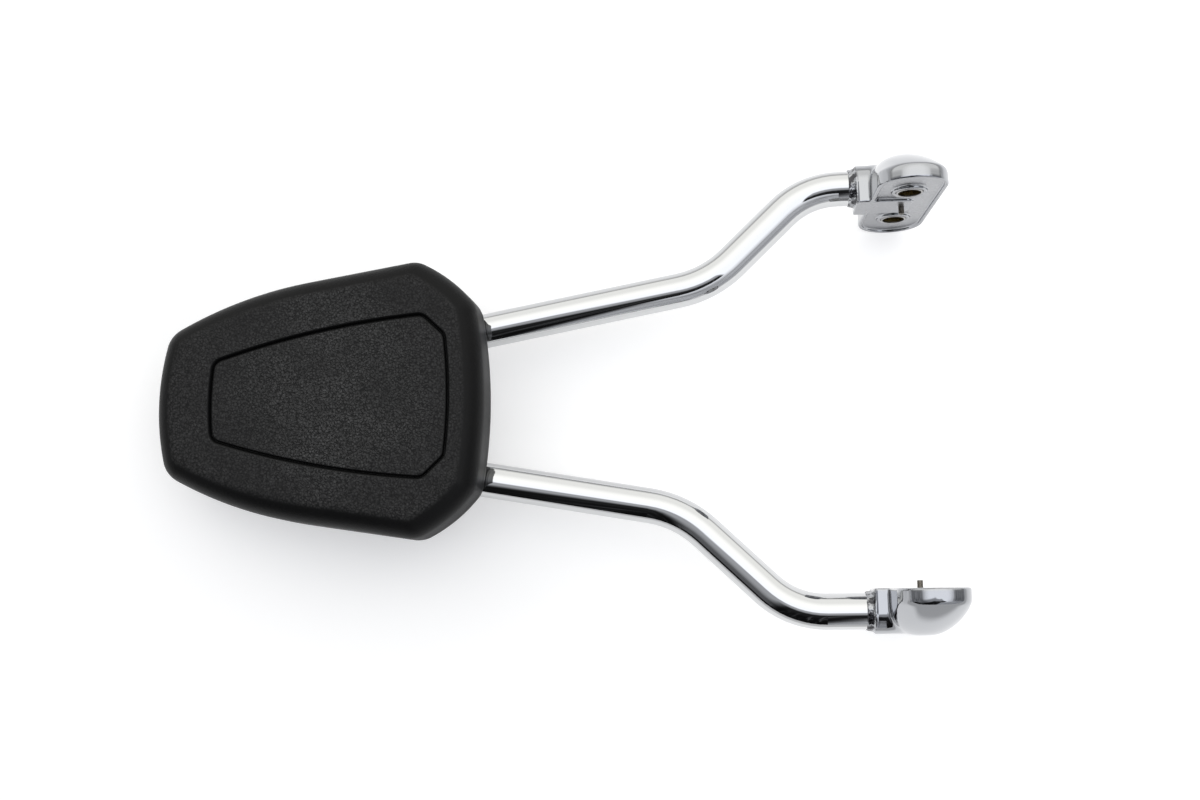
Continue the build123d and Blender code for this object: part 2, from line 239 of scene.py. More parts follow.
# Screens on the near side of the studio, and a card off each end of the bar.
# Angles turn about the upright axis from +X, or rise from level; widths are parts of a direction.
SCREEN_RIGHT_DEG = (-89.0, -85.0)
SCREEN_LEAN_DEG = 38.0
SCREEN_LEAN_RISE_DEG = (44.0, 54.0)
GREY_SCREEN_LEVEL = 0.32
GREY_SCREEN_LEFT_DEG = (-168.0, -150.0)
GREY_SCREEN_TOP_DEG = (77.0, 82.0)
BLACK_SCREEN_LEVEL = 0.04
BLACK_SCREEN_LEFT_DEG = (-134.0, -120.0)
BLACK_SCREEN_TOP_DEG = (62.0, 72.0)
SKIRTING_LEFT_DEG = (-158.0, -150.0)
SKIRTING_TOP_DEG = (10.0, 18.0)
STREAK_PITCH = (30.0, 1.0)
STREAK_RANGE = (0.54, 0.68)
STREAK_LEVEL = 1.0
STREAK_FROM_DEG = (-114.0, -96.0)
STREAK_LEFT_LEVEL = 0.25
STREAK_RISE_DEG = (20.0, 60.0)
STREAK_TOP_LEVEL = 0.15
END_CARD_LEVEL = 0.48
END_CARD_HALF_WIDTH = (0.22, 0.42)
END_CARD_FOOT_DEG = (1.0, 5.0)
END_CARD_TOP_DEG = (36.0, 46.0)


# Outlines


def pad_corner(rise, side, round_mm=0.0, bow_mm=0.0):
    """Corner of an outline: its place, its rounding and the bow of the edge that follows it."""
    return Vector((-(PAD_LOWER_EDGE_MM + rise), side)), round_mm, bow_mm


def mirrored_outline(left, low_bow, top_bow):
    """Whole outline from its left-hand corners, from the lower edge round to the lower edge."""
    bows = [corner[2] for corner in left]
    bows[-1] = top_bow
    right_bows = bows[-2::-1] + [low_bow]
    corners = [(point, round_mm, bow) for (point, round_mm, _), bow in zip(left, bows)]
    for (point, round_mm, _), bow in zip(left[::-1], right_bows):
        corners.append((Vector((point.x, -point.y)), round_mm, bow))
    return corners


def outward(edge):
    """Direction that looks out of the outline, square to an edge."""
    return Vector((edge.y, -edge.x)).normalized()


def grown(corners, margin):
    """Outline whose edges are all moved out by a margin."""
    count = len(corners)
    moved = []
    for i, (point, round_mm, bow) in enumerate(corners):
        first = outward(point - corners[i - 1][0])
        second = outward(corners[(i + 1) % count][0] - point)
        shift = (first + second) * (margin / (1 + first.dot(second)))
        moved.append((point + shift, round_mm + margin, bow))
    return moved


PAD_CORNERS = mirrored_outline(
    [
        pad_corner(PAD_LOW_BOW_MM, PAD_LOW_HALF_MM, PAD_CORNER_ROUND_MM, PAD_HIP_BOW_MM),
        pad_corner(PAD_HIP_RISE_MM, PAD_HALF_WIDTH_MM, PAD_CORNER_ROUND_MM),
        pad_corner(*PAD_SIDE_MM, bow_mm=PAD_SIDE_BOW_MM),
        pad_corner(PAD_LENGTH_MM - PAD_TOP_BOW_MM, PAD_TOP_HALF_MM, PAD_SHOULDER_ROUND_MM),
    ],
    PAD_LOW_BOW_MM,
    PAD_TOP_BOW_MM,
)
PANEL_LINE = mirrored_outline(
    [
        pad_corner(*PANEL_LOW_MM, PANEL_ROUND_MM),
        pad_corner(*PANEL_HIP_MM, PANEL_ROUND_MM, PANEL_SIDE_BOW_MM),
        pad_corner(*PANEL_TOP_MM, PANEL_ROUND_MM),
    ],
    PANEL_LOW_BOW_MM,
    PANEL_TOP_BOW_MM,
)
PANEL_CORNERS = grown(PANEL_LINE, GROOVE_LIP_MM)


def turned(vector, angle):
    return Matrix.Rotation(angle, 2) @ vector


def edge_ends(start, end, bow):
    """Directions at the two ends of an edge that bows outward, and how sharply it bends."""
    chord = end - start
    lift = 2 * math.atan(2 * bow / chord.length)
    straight = chord.normalized()
    return turned(straight, -lift), turned(straight, lift), 2 * math.sin(lift) / chord.length


def outline_anchors(corners):
    """Places, directions and arc handle lengths of an outline's anchor points."""
    count = len(corners)
    anchors = []
    for i, (point, round_mm, bow) in enumerate(corners):
        last_point, _, last_bow = corners[i - 1]
        next_point = corners[(i + 1) % count][0]
        _, into, bend_in = edge_ends(last_point, point, last_bow)
        out, _, bend_out = edge_ends(point, next_point, bow)
        if not round_mm:
            anchors.append((point, (into + out).normalized(), None, None))
            continue
        trim = round_mm * math.tan(into.angle(out) / 2)
        first = point - turned(into, -bend_in * trim / 2) * trim
        second = point + turned(out, bend_out * trim / 2) * trim
        into = turned(into, -bend_in * trim)
        out = turned(out, bend_out * trim)
        turn = into.angle(out)
        radius = (second - first).length / (2 * math.sin(turn / 2))
        handle = radius * math.tan(turn / 4) * 4 / 3
        anchors.append((first, into, None, handle))
        anchors.append((second, out, handle, None))
    return anchors


def outline_mesh(name, corners):
    """Closed wire of a rounded, bowed outline, in metres."""
    curve = bpy.data.curves.new(name, "CURVE")
    curve.dimensions = "2D"
    curve.fill_mode = "NONE"
    curve.resolution_u = OUTLINE_STEPS
    anchors = outline_anchors(corners)
    spline = curve.splines.new("BEZIER")
    spline.bezier_points.add(len(anchors) - 1)
    spline.use_cyclic_u = True
    for i, (place, direction, back, ahead) in enumerate(anchors):
        to_last = (place - anchors[i - 1][0]).length / 3
        to_next = (place - anchors[(i + 1) % len(anchors)][0]).length / 3
        left = place - direction * (to_last if back is None else back)
        right = place + direction * (to_next if ahead is None else ahead)
        point = spline.bezier_points[i]
        point.handle_left_type = point.handle_right_type = "FREE"
        point.co = (place * MM).to_3d()
        point.handle_left = (left * MM).to_3d()
        point.handle_right = (right * MM).to_3d()
    carrier = bpy.data.objects.new(name, curve)
    mesh = bpy.data.meshes.new_from_object(carrier)
    bpy.data.objects.remove(carrier)
    bpy.data.curves.remove(curve)
    return mesh


# Objects


def make_object(name, bm):
    """Object made of a bmesh and linked to the scene."""
    mesh = bpy.data.meshes.new(name)
    bm.to_mesh(mesh)
    bm.free()
    made = bpy.data.objects.new(name, mesh)
    bpy.context.scene.collection.objects.link(made)
    return made


# Pad


def add_wire(bm, mesh, height_mm):
    """Adds an outline to the bmesh at a height and returns its edges."""
    known = set(bm.edges)
    bm.from_mesh(mesh)
    bm.edges.ensure_lookup_table()
    edges = [edge for edge in bm.edges if edge not in known]
    verts = list({vert for edge in edges for vert in edge.verts})
    bmesh.ops.translate(bm, verts=verts, vec=(0, 0, height_mm * MM))
    return edges


def inset_face(bm, face, width_mm, sink_mm):
    """Insets one face and returns it."""
    bmesh.ops.inset_region(
        bm,
        faces=[face],
        thickness=width_mm * MM,
        depth=sink_mm * MM,
        use_boundary=True,
        use_even_offset=True,
    )
    return face


def round_edges(bm, edges, size_mm, steps):
    bmesh.ops.bevel(
        bm,
        geom=edges,
        offset=size_mm * MM,
        offset_type="OFFSET",
        segments=steps,
        profile=0.5,
        affect="EDGES",
        clamp_overlap=False,
        material=-1,
    )


def facing(bm, up):
    """The large flat face that looks up or down."""
    faces = [face for face in bm.faces if face.normal.z * up > FLAT_ENOUGH]
    return max(faces, key=lambda face: face.calc_area())


def thin_rim(bm):
    """Merges the points that crowd together at the corners of the front's rim."""
    crowded = list(facing(bm, 1).verts)
    bmesh.ops.remove_doubles(bm, verts=crowded, dist=RIM_STEP_MM * MM)


def pad_block(bm):
    """Walls of the pad with a parting line, a rounded front and a pocket for the base plate."""
    rim = add_wire(bm, outline_mesh("pad_outline", PAD_CORNERS), PAD_BACK_MM)
    base = bmesh.ops.edgeloop_fill(bm, edges=rim)["faces"][0]
    raised = bmesh.ops.extrude_face_region(bm, geom=[base], use_keep_orig=True)["geom"]
    verts = [item for item in raised if isinstance(item, bmesh.types.BMVert)]
    bmesh.ops.translate(bm, verts=verts, vec=(0, 0, PAD_THICKNESS_MM * MM))
    bmesh.ops.recalc_face_normals(bm, faces=bm.faces)
    round_edges(bm, list(facing(bm, 1).edges), PAD_FRONT_ROUND_MM, PAD_FRONT_STEPS)
    thin_rim(bm)
    round_edges(bm, list(facing(bm, -1).edges), PAD_BACK_BEVEL_MM, PAD_BACK_STEPS)
    parting_line(bm)
    back = inset_face(bm, facing(bm, -1), PLATE_MARGIN_MM - PAD_BACK_BEVEL_MM, 0)
    inset_face(bm, back, POCKET_DRAFT_MM, -PLATE_POCKET_MM)


def parting_line(bm):
    """Fine line round the wall where the mould's halves met."""
    level = PAD_BACK_MM + PARTING_RISE_MM
    for offset in (-PARTING_DEPTH_MM, 0, PARTING_DEPTH_MM):
        cut = bmesh.ops.bisect_plane(
            bm,
            geom=bm.verts[:] + bm.edges[:] + bm.faces[:],
            plane_co=(0, 0, (level + offset) * MM),
            plane_no=(0, 0, 1),
        )
        if offset == 0:
            line = [item for item in cut["geom_cut"] if isinstance(item, bmesh.types.BMVert)]
    bm.normal_update()
    for vert in line:
        vert.co += vert.normal * PARTING_DEPTH_MM * MM


def panel_face(bm):
    """Front face with its grooved panel."""
    front = facing(bm, 1)
    outer = list(front.edges)
    bmesh.ops.delete(bm, geom=[front], context="FACES_ONLY")
    front_level = PAD_BACK_MM + PAD_THICKNESS_MM
    inner = add_wire(bm, outline_mesh("panel_outline", PANEL_CORNERS), front_level + BRIDGE_LIFT_MM)
    bridge = bmesh.ops.bridge_loops(bm, edges=outer + inner)
    spokes = [edge for edge in bridge["edges"] if edge not in outer and edge not in inner]
    lifted = list({vert for edge in inner for vert in edge.verts})
    bmesh.ops.translate(bm, verts=lifted, vec=(0, 0, -BRIDGE_LIFT_MM * MM))
    bmesh.ops.subdivide_edges(bm, edges=spokes, cuts=PANEL_FACE_CUTS, use_grid_fill=True)
    panel = bmesh.ops.edgeloop_fill(bm, edges=inner)["faces"][0]
    bm.normal_update()
    if panel.normal.z < 0:
        panel.normal_flip()
    for width, sink in GROOVE_STEPS_MM:
        panel = inset_face(bm, panel, width, sink)
    for scale in PANEL_CORE_SCALES:
        panel = shrink_face(bm, panel, scale)
    bmesh.ops.poke(bm, faces=[panel])


def shrink_face(bm, face, scale):
    """Draws a face in towards its middle and leaves a ring of quads round it."""
    middle = face.calc_center_median()
    made = bmesh.ops.extrude_discrete_faces(bm, faces=[face])["faces"][0]
    bmesh.ops.scale(
        bm,
        verts=list(made.verts),
        vec=(scale, scale, 1),
        space=Matrix.Translation(-middle),
    )
    return made


def crown(bm):
    """Lifts the front towards its middle."""
    wall_top = (PAD_BACK_MM + PAD_THICKNESS_MM - PAD_FRONT_ROUND_MM) * MM
    middle = -(PAD_LOWER_EDGE_MM + PAD_LENGTH_MM / 2) * MM
    for vert in bm.verts:
        height = (vert.co.z - wall_top) / (PAD_FRONT_ROUND_MM * MM)
        up_pad = (vert.co.x - middle) / (PAD_LENGTH_MM / 2 * MM)
        across = vert.co.y / (PAD_HALF_WIDTH_MM * MM)
        share = max(0.0, 1 - up_pad**2) * max(0.0, 1 - across**2)
        vert.co.z += PAD_CROWN_MM * MM * share * max(0.0, height)


def lay(bm):
    """Tips a shape drawn on the flat bar to the way the bar lies."""
    tip = Matrix.Rotation(-math.radians(REST_TILT_DEG), 4, "Y")
    bmesh.ops.transform(bm, matrix=Matrix.Translation(FEET_MIDDLE) @ tip, verts=bm.verts)


def make_pad():
    """Moulded pad, with a modifier that softens it all over."""
    bm = bmesh.new()
    pad_block(bm)
    panel_face(bm)
    crown(bm)
    lay(bm)
    bmesh.ops.recalc_face_normals(bm, faces=bm.faces)
    pad = make_object("moulded_pad", bm)
    pad.data.shade_smooth()
    smooth = pad.modifiers.new("soften", "SUBSURF")
    smooth.levels = smooth.render_levels = 1
    return pad


# Feet


def even_mesh(node):
    """Even mesh of a CAD node's solid."""
    bm = bmesh.new()
    bm.from_mesh(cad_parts[node].data)
    bmesh.ops.remove_doubles(bm, verts=bm.verts, dist=CAST_MERGE_MM * MM)
    carrier = make_object(node, bm)
    grid = carrier.modifiers.new("even", "REMESH")
    grid.mode = "VOXEL"
    grid.voxel_size = CAST_GRID_MM * MM
    graph = bpy.context.evaluated_depsgraph_get()
    made = bpy.data.meshes.new_from_object(carrier.evaluated_get(graph))
    bpy.data.objects.remove(carrier)
    return made


def polish(bm, verts, passes):
    """Evens out the points, pass by pass."""
    for _ in range(passes):
        bmesh.ops.smooth_vert(
            bm,
            verts=verts,
            factor=POLISH_SHARE,
            use_axis_x=True,
            use_axis_y=True,
            use_axis_z=True,
        )


def swell_back(bm):
    """Rounds out the domed back between its wall and its crest, clear of the arm."""
    lean = math.radians(FOOT_LEAN_DEG)
    axis = Vector((-math.sin(lean), 0, math.cos(lean)))
    taper = FOOT_LENGTH_MM - CREST_LENGTH_MM
    for vert in bm.verts:
        depth = (abs(vert.co.y) - FOOT_FACE - FOOT_WALL) / (DOME_DEPTH_MM * MM)
        if not 0 < depth < 1:
            continue
        longer = DOME_BULGE * taper * (math.sqrt(1 - depth**2) - (1 - depth))
        clear = min(1.0, max(0.0, (vert.co.x - ARM_FROM) / (ARM_TO - ARM_FROM)))
        height = (vert.co - Vector(FEET_MIDDLE)).dot(axis)
        vert.co += axis * height * clear * longer / (FOOT_LENGTH_MM - taper * depth)


def back_points(bm, inset):
    """Points of the back and most of its wall, clear of the arm, drawn in by an inset."""
    outer = BACK_FROM + inset
    beyond = ARM_FROM + inset
    return [vert for vert in bm.verts if abs(vert.co.y) > outer and vert.co.x > beyond]


def make_foot(side):
    """Casting with its edges polished round, most of all between its wall and its domed back."""
    bm = bmesh.new()
    bm.from_mesh(even_mesh(f"{side}_foot"))
    swell_back(bm)
    polish(bm, bm.verts[:], CAST_PASSES)
    for ring in range(BACK_RINGS):
        polish(bm, back_points(bm, ring * BACK_RING_MM * MM), BACK_PASSES)
    casting = make_object(f"{side}_casting", bm)
    casting.data.shade_smooth()
    return casting


# Shader helpers


def set_values(node, values):
    """Sets a node's named inputs; an underscore stands for a space."""
    for label, value in values.items():
        node.inputs[label.replace("_", " ")].default_value = value


def feed(tree, node, **sources):
    """Links outputs of other nodes to a node's named inputs."""
    for label, source in sources.items():
        tree.links.new(source, node.inputs[label.replace("_", " ")])


def put(tree, kind, **values):
    """Adds a node and sets its named input values."""
    node = tree.nodes.new(kind)
    set_values(node, values)
    return node


def fill(tree, socket, value):
    """Gives a socket a plain value or a link."""
    if isinstance(value, bpy.types.NodeSocket):
        tree.links.new(value, socket)
    else:
        socket.default_value = value


def maths(tree, operation, first, second=None, clamp=False):
    """Maths node on sockets or numbers; returns its output."""
    node = tree.nodes.new("ShaderNodeMath")
    node.operation = operation
    node.use_clamp = clamp
    fill(tree, node.inputs[0], first)
    if second is not None:
        fill(tree, node.inputs[1], second)
    return node.outputs[0]


def product(tree, first, *others):
    """Product of sockets or numbers; returns the output."""
    for other in others:
        first = maths(tree, "MULTIPLY", first, other)
    return first


def blend(tree, share, first, second):
    """Value between two values by a share; returns the output."""
    difference = maths(tree, "SUBTRACT", second, first)
    return maths(tree, "ADD", first, product(tree, share, difference))


def spread(tree, value, low, high, to_low=0.0, to_high=1.0):
    """Maps a range of values smoothly to another and returns the output."""
    node = put(tree, "ShaderNodeMapRange")
    node.interpolation_type = "SMOOTHSTEP"
    set_values(node, {"From_Min": low, "From_Max": high, "To_Min": to_low, "To_Max": to_high})
    feed(tree, node, Value=value)
    return node.outputs["Result"]


def vector_maths(tree, operation, first, second):
    """Vector maths node on a socket and a plain vector; returns its number."""
    node = tree.nodes.new("ShaderNodeVectorMath")
    node.operation = operation
    tree.links.new(first, node.inputs[0])
    node.inputs[1].default_value = second
    return node.outputs["Value"]


def along(tree, vector, direction):
    """How far a vector points along a direction."""
    return vector_maths(tree, "DOT_PRODUCT", vector, direction)


def distance(tree, place, centre):
    """How far a place lies from a centre."""
    return vector_maths(tree, "DISTANCE", place, centre)


def surface(tree):
    """Places and directions of a piece's surface, in its own frame."""
    node = put(tree, "ShaderNodeTexCoord")
    return node.outputs["Object"], node.outputs["Normal"]


def noise(tree, place, scale, detail, rough):
    node = put(tree, "ShaderNodeTexNoise", Scale=scale, Detail=detail, Roughness=rough)
    feed(tree, node, Vector=place)
    return node.outputs["Fac"]


def colour_mix(tree, share, first, second):
    """Colour between two colours by a share; returns the output."""
    node = tree.nodes.new("ShaderNodeMix")
    node.data_type = "RGBA"
    tree.links.new(share, node.inputs["Factor"])
    ends = [socket for socket in node.inputs if socket.type == "RGBA"]
    for socket, value in zip(ends, (first, second)):
        fill(tree, socket, value if isinstance(value, bpy.types.NodeSocket) else (*value, 1))
    return next(socket for socket in node.outputs if socket.type == "RGBA")


def bump(tree, height, strength, depth, normal=None):
    node = put(tree, "ShaderNodeBump", Strength=strength, Distance=depth)
    feed(tree, node, Height=height)
    if normal is not None:
        feed(tree, node, Normal=normal)
    return node.outputs["Normal"]


def new_group(name, inputs, outputs):
    """Shader group with named sockets; returns the tree, its inputs node and its outputs node."""
    tree = bpy.data.node_groups.new(name, "ShaderNodeTree")
    for label, kind in inputs:
        tree.interface.new_socket(label, in_out="INPUT", socket_type=kind)
    for label, kind in outputs:
        tree.interface.new_socket(label, in_out="OUTPUT", socket_type=kind)
    return tree, tree.nodes.new("NodeGroupInput"), tree.nodes.new("NodeGroupOutput")


def use_group(tree, group, **values):
    """Places a group in a material with its own values."""
    node = tree.nodes.new("ShaderNodeGroup")
    node.node_tree = group
    set_values(node, values)
    return node


def new_material(name, **values):
    """Material with one Principled shader whose plain values are set."""
    material = bpy.data.materials.new(name)
    material.use_nodes = True
    tree = material.node_tree
    shader = tree.nodes["Principled BSDF"]
    set_values(shader, values)
    return material, tree, shader


# Finishes


def plating_group():
    """Bright plate: faint waves, a fine grain and a cloudy haze."""
    tree, given, made = new_group(
        "bright_plate",
        [("Haze", "NodeSocketFloat"), ("Wave", "NodeSocketFloat")],
        [("Roughness", "NodeSocketFloat"), ("Normal", "NodeSocketVector")],
    )
    place, _ = surface(tree)
    clouds = spread(tree, noise(tree, place, *PLATE_CLOUD), *HAZE_RANGE, *HAZE_LEVEL)
    grain = product(tree, noise(tree, place, *PLATE_GRAIN), PLATE_GRAIN_HEIGHT)
    height = maths(tree, "ADD", noise(tree, place, *PLATE_RIPPLE), grain)
    lift = put(tree, "ShaderNodeBump", Distance=PLATE_DEPTH)
    feed(tree, lift, Strength=given.outputs["Wave"], Height=height)
    haze = product(tree, given.outputs["Haze"], clouds)
    feed(tree, made, Roughness=haze, Normal=lift.outputs["Normal"])
    return tree


def oil_film_group():
    """Finely grained steel under a cloudy film of oil, from a dark colour to a light one."""
    tree, given, made = new_group(
        "oil_film",
        [("Dark", "NodeSocketColor"), ("Light", "NodeSocketColor")],
        [("Colour", "NodeSocketColor"), ("Roughness", "NodeSocketFloat"), ("Normal", "NodeSocketVector")],
    )
    place, _ = surface(tree)
    film = noise(tree, place, *STEEL_FILM)
    feed(
        tree,
        made,
        Colour=colour_mix(tree, film, given.outputs["Dark"], given.outputs["Light"]),
        Roughness=spread(tree, film, *NOISE_RANGE, *STEEL_ROUGHNESS),
        Normal=bump(tree, noise(tree, place, *STEEL_GRAIN), *STEEL_BUMP),
    )
    return tree


def tube_chrome(plate):
    """Chrome of the hoop and its straps."""
    material, tree, shader = new_material("tube_chrome", Base_Color=TUBE_COLOUR, Metallic=1.0)
    finish = use_group(tree, plate, Haze=TUBE_HAZE, Wave=TUBE_WAVE)
    feed(tree, shader, Roughness=finish.outputs["Roughness"], Normal=finish.outputs["Normal"])
    return material


def satin_face(tree, place, way):
    """1 on the flat of a foot's inner face."""
    behind = maths(tree, "ABSOLUTE", along(tree, place, CROSSWAYS))
    sideways = maths(tree, "ABSOLUTE", along(tree, way, CROSSWAYS))
    near_face = maths(tree, "LESS_THAN", behind, FOOT_FACE + FOOT_RECESS)
    return product(tree, near_face, maths(tree, "GREATER_THAN", sideways, FLAT_ENOUGH))


def welded_neck(tree, place):
    """1 round the neck, where a foot is welded to its leg."""
    reach = along(tree, place, LENGTHWAYS)
    before = spread(tree, reach, NECK_FROM, NECK_FROM + NECK_START)
    after = spread(tree, reach, NECK_TO - NECK_END, NECK_TO, 1.0, 0.0)
    return product(tree, before, after)


def foot_chrome(plate):
    """Bright on the outside but painted darker than the tube as painted shade, satin on the flat inner
    face, lumpy and scorched at the neck.
    """
    material, tree, shader = new_material("foot_chrome", Metallic=1.0)
    place, way = surface(tree)
    finish = use_group(tree, plate, Haze=FOOT_HAZE, Wave=FOOT_WAVE)
    satin = satin_face(tree, place, way)
    neck = welded_neck(tree, place)
    grain = noise(tree, place, *CAST_GRAIN)
    beads = noise(tree, place, *WELD_BEADS)
    rough = maths(tree, "ADD", finish.outputs["Roughness"], product(tree, satin, SATIN_HAZE))
    lumps = product(tree, beads, neck, WELD_HEIGHT)
    cast = product(tree, grain, satin, SATIN_GRAIN_HEIGHT)
    normal = bump(tree, maths(tree, "ADD", lumps, cast), *WELD_BUMP, finish.outputs["Normal"])
    tint = colour_mix(tree, product(tree, satin, grain), FOOT_SHADED_COLOUR, SATIN_COLOUR)
    scorch = product(tree, neck, spread(tree, beads, *SCORCH_RANGE, 1.0, 0.0))
    tint = colour_mix(tree, scorch, tint, SCORCH_COLOUR)
    feed(tree, shader, Base_Color=tint, Roughness=rough, Normal=normal)
    return material


def bush_brass():
    """Turned brass: plated over on the end that shows, darker brown further down the hole."""
    material, tree, shader = new_material("bush_brass", Metallic=1.0)
    place, _ = surface(tree)
    behind = maths(tree, "ABSOLUTE", along(tree, place, CROSSWAYS))
    patches = noise(tree, place, *BRASS_PATCHES)
    # darker brown further down the hole, with random patches
    depth = spread(tree, behind, FOOT_FACE + BUSH_LIP, FOOT_FACE + BUSH_DARK_DEPTH, *HOLE_DARK_LEVEL)
    darkening = maths(tree, "ADD", depth, product(tree, patches, HOLE_DARK_PATCHES), clamp=True)
    brass = colour_mix(tree, darkening, BRASS_COLOUR, HOLE_DARK_COLOUR)
    plated = spread(tree, behind, FOOT_FACE + BUSH_LIP / 2, FOOT_FACE + BUSH_LIP, 1.0, 0.0)
    tint = colour_mix(tree, plated, brass, PLATED_COLOUR)
    rough = spread(tree, patches, *NOISE_RANGE, *BRASS_ROUGHNESS)
    feed(tree, shader, Base_Color=tint, Roughness=rough)
    return material


def bare_steel(name, film, dark, light):
    """Steel under a film of oil; the two colours are its darkest and lightest."""
    material, tree, shader = new_material(name, Metallic=1.0)
    finish = use_group(tree, film, Dark=(*dark, 1), Light=(*light, 1))
    feed(
        tree,
        shader,
        Base_Color=finish.outputs["Colour"],
        Roughness=finish.outputs["Roughness"],
        Normal=finish.outputs["Normal"],
    )
    return material


def base_plastic():
    """Black plastic of the pad's base plate."""
    material, tree, shader = new_material("base_plastic", Specular_IOR_Level=PLASTIC_SHINE)
    place, _ = surface(tree)
    cloud = noise(tree, place, *PLASTIC_CLOUD)
    feed(
        tree,
        shader,
        Base_Color=colour_mix(tree, cloud, *PLASTIC_COLOURS),
        Roughness=spread(tree, cloud, *NOISE_RANGE, *PLASTIC_ROUGHNESS),
        Normal=bump(tree, noise(tree, place, *PLASTIC_GRAIN), *PLASTIC_BUMP),
    )
    return material


def leather_grain(tree, place):
    """Pebbles with specks among them, for the bump and for the painted highlights in the colour."""
    cells = put(tree, "ShaderNodeTexVoronoi", Scale=PEBBLE_SCALE)
    cells.feature = "DISTANCE_TO_EDGE"
    feed(tree, cells, Vector=place)
    pebbles = spread(tree, cells.outputs["Distance"], *PEBBLE_EDGE)
    specks = spread(tree, noise(tree, place, *SKIN_SPECKS), *SPECK_RANGE)
    return blend(tree, SPECK_SHARE, pebbles, specks)


def pad_skin():
    """Black moulded skin: a pebbled leather grain on the front, smoother round the sides; its colour has
    painted highlights on the pebbles, lightest in the middle of the front, and painted shade that keeps
    the sides dark.
    """
    material, tree, shader = new_material("pad_skin", Specular_IOR_Level=SKIN_SHINE)
    place, way = surface(tree)
    grain = leather_grain(tree, place)
    cloud = noise(tree, place, *SKIN_CLOUD)
    front = spread(tree, along(tree, way, PAD_FACING), *FRONT_FACING)
    patches = spread(tree, cloud, *PATCH_RANGE, *PATCH_LEVEL)
    middle = spread(tree, distance(tree, place, GRAIN_AND_LIGHT_MIDDLE), 0.0, GRAIN_AND_LIGHT_REACH, 1.0, GRAIN_AND_LIGHT_AT_EDGE)
    grain_and_painted_light = product(tree, front, patches, middle)
    height = product(tree, grain, spread(tree, grain_and_painted_light, 0.0, 1.0, GRAIN_ON_SIDES, 1.0))
    feed(
        tree,
        shader,
        # painted light: highlights on the pebbles, strongest in the middle of the front, and painted
        # shade on the sides
        Base_Color=colour_mix(tree, product(tree, grain, grain_and_painted_light), *SKIN_AND_GLINT_COLOURS),
        Roughness=spread(tree, cloud, *NOISE_RANGE, *SKIN_ROUGHNESS),
        Normal=bump(tree, height, *SKIN_BUMP),
    )
    return material


def dress(node, material):
    """Gives a CAD node its material."""
    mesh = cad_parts[node].data
    mesh.materials.clear()
    mesh.materials.append(material)


# Stage


def background_rays(tree):
    """1 for the rays that see the stage directly, in a mirror or through glass."""
    path = put(tree, "ShaderNodeLightPath")
    seen = maths(tree, "MAXIMUM", path.outputs["Is Camera Ray"], path.outputs["Is Glossy Ray"])
    return maths(tree, "MAXIMUM", seen, path.outputs["Is Transmission Ray"])


def table_with_painted_glow():
    """Table top that glows white for the rays that see it, with a painted pool of light about the bar,
    brightest at the feet's end where it lightens the feet's shadows and dimmer past the near and far
    edges; its own shading keeps the shadows.
    """
    material, tree, shader = new_material(
        "table_with_painted_glow",
        Base_Color=FLOOR_COLOUR,
        Roughness=FLOOR_ROUGHNESS,
        Specular_IOR_Level=0.0,
        Emission_Color=GLOW_COLOUR,
    )
    place, _ = surface(tree)
    # painted light: the glow is stronger about the bar and strongest at the feet's end
    glow = spread(tree, along(tree, place, LENGTHWAYS), GLOW_FROM, GLOW_TO, PAD_END_GLOW, FOOT_END_GLOW)
    pool = spread(tree, distance(tree, place, POOL_MIDDLE), POOL_FROM, POOL_TO, 1.0, 0.0)
    across = along(tree, place, CROSSWAYS)
    near = spread(tree, across, *POOL_NEAR_EDGE)
    far = spread(tree, across, *POOL_FAR_EDGE, 1.0, POOL_FAR_LEVEL)
    feed(tree, shader, Emission_Strength=product(tree, background_rays(tree), glow, pool, near, far))
    return material


def make_floor():
    bm = bmesh.new()
    bmesh.ops.create_grid(bm, x_segments=2, y_segments=2, size=FLOOR_HALF)
    floor = make_object("table", bm)
    floor.data.materials.append(table_with_painted_glow())


def turn_of(angles):
    """Turns about the upright axis, in radians."""
    return [math.radians(angle) for angle in angles]


def rise_of(angles):
    """Heights of directions that rise by the angles from level."""
    return [math.sin(math.radians(angle)) for angle in angles]


def room_noise(tree, turn, rise, pitch):
    """Noise over the room, drawn out by a pitch round it and a pitch up it."""
    place = put(tree, "ShaderNodeCombineXYZ")
    feed(tree, place, X=product(tree, turn, pitch[0]), Y=product(tree, rise, pitch[1]))
    return noise(tree, place.outputs["Vector"], *ROOM_UNEVEN)


def screen_share(tree, turn, rise, left_deg, top_deg):
    """1 where a screen stands on the near side; its upper part leans over to the right."""
    lean = spread(tree, rise, *rise_of(SCREEN_LEAN_RISE_DEG), 0.0, math.radians(SCREEN_LEAN_DEG))
    leant = maths(tree, "SUBTRACT", turn, lean)
    left = spread(tree, turn, *turn_of(left_deg))
    right = spread(tree, leant, *turn_of(SCREEN_RIGHT_DEG), 1.0, 0.0)
    top = spread(tree, rise, *rise_of(top_deg), 1.0, 0.0)
    return product(tree, left, right, top)


def passing(tree, share, level):
    """Share of the light that is left where a screen or a card of a level stands."""
    loss = maths(tree, "SUBTRACT", 1.0, level)
    return maths(tree, "SUBTRACT", 1.0, product(tree, share, loss))


def light_streaks(tree, turn, rise):
    """Thin upright streaks of light on the screen's right-hand side."""
    lines = spread(tree, room_noise(tree, turn, rise, STREAK_PITCH), *STREAK_RANGE, 0.0, STREAK_LEVEL)
    side = spread(tree, turn, *turn_of(STREAK_FROM_DEG), STREAK_LEFT_LEVEL, 1.0)
    low = spread(tree, rise, *rise_of(STREAK_RISE_DEG), 1.0, STREAK_TOP_LEVEL)
    return product(tree, lines, side, low)


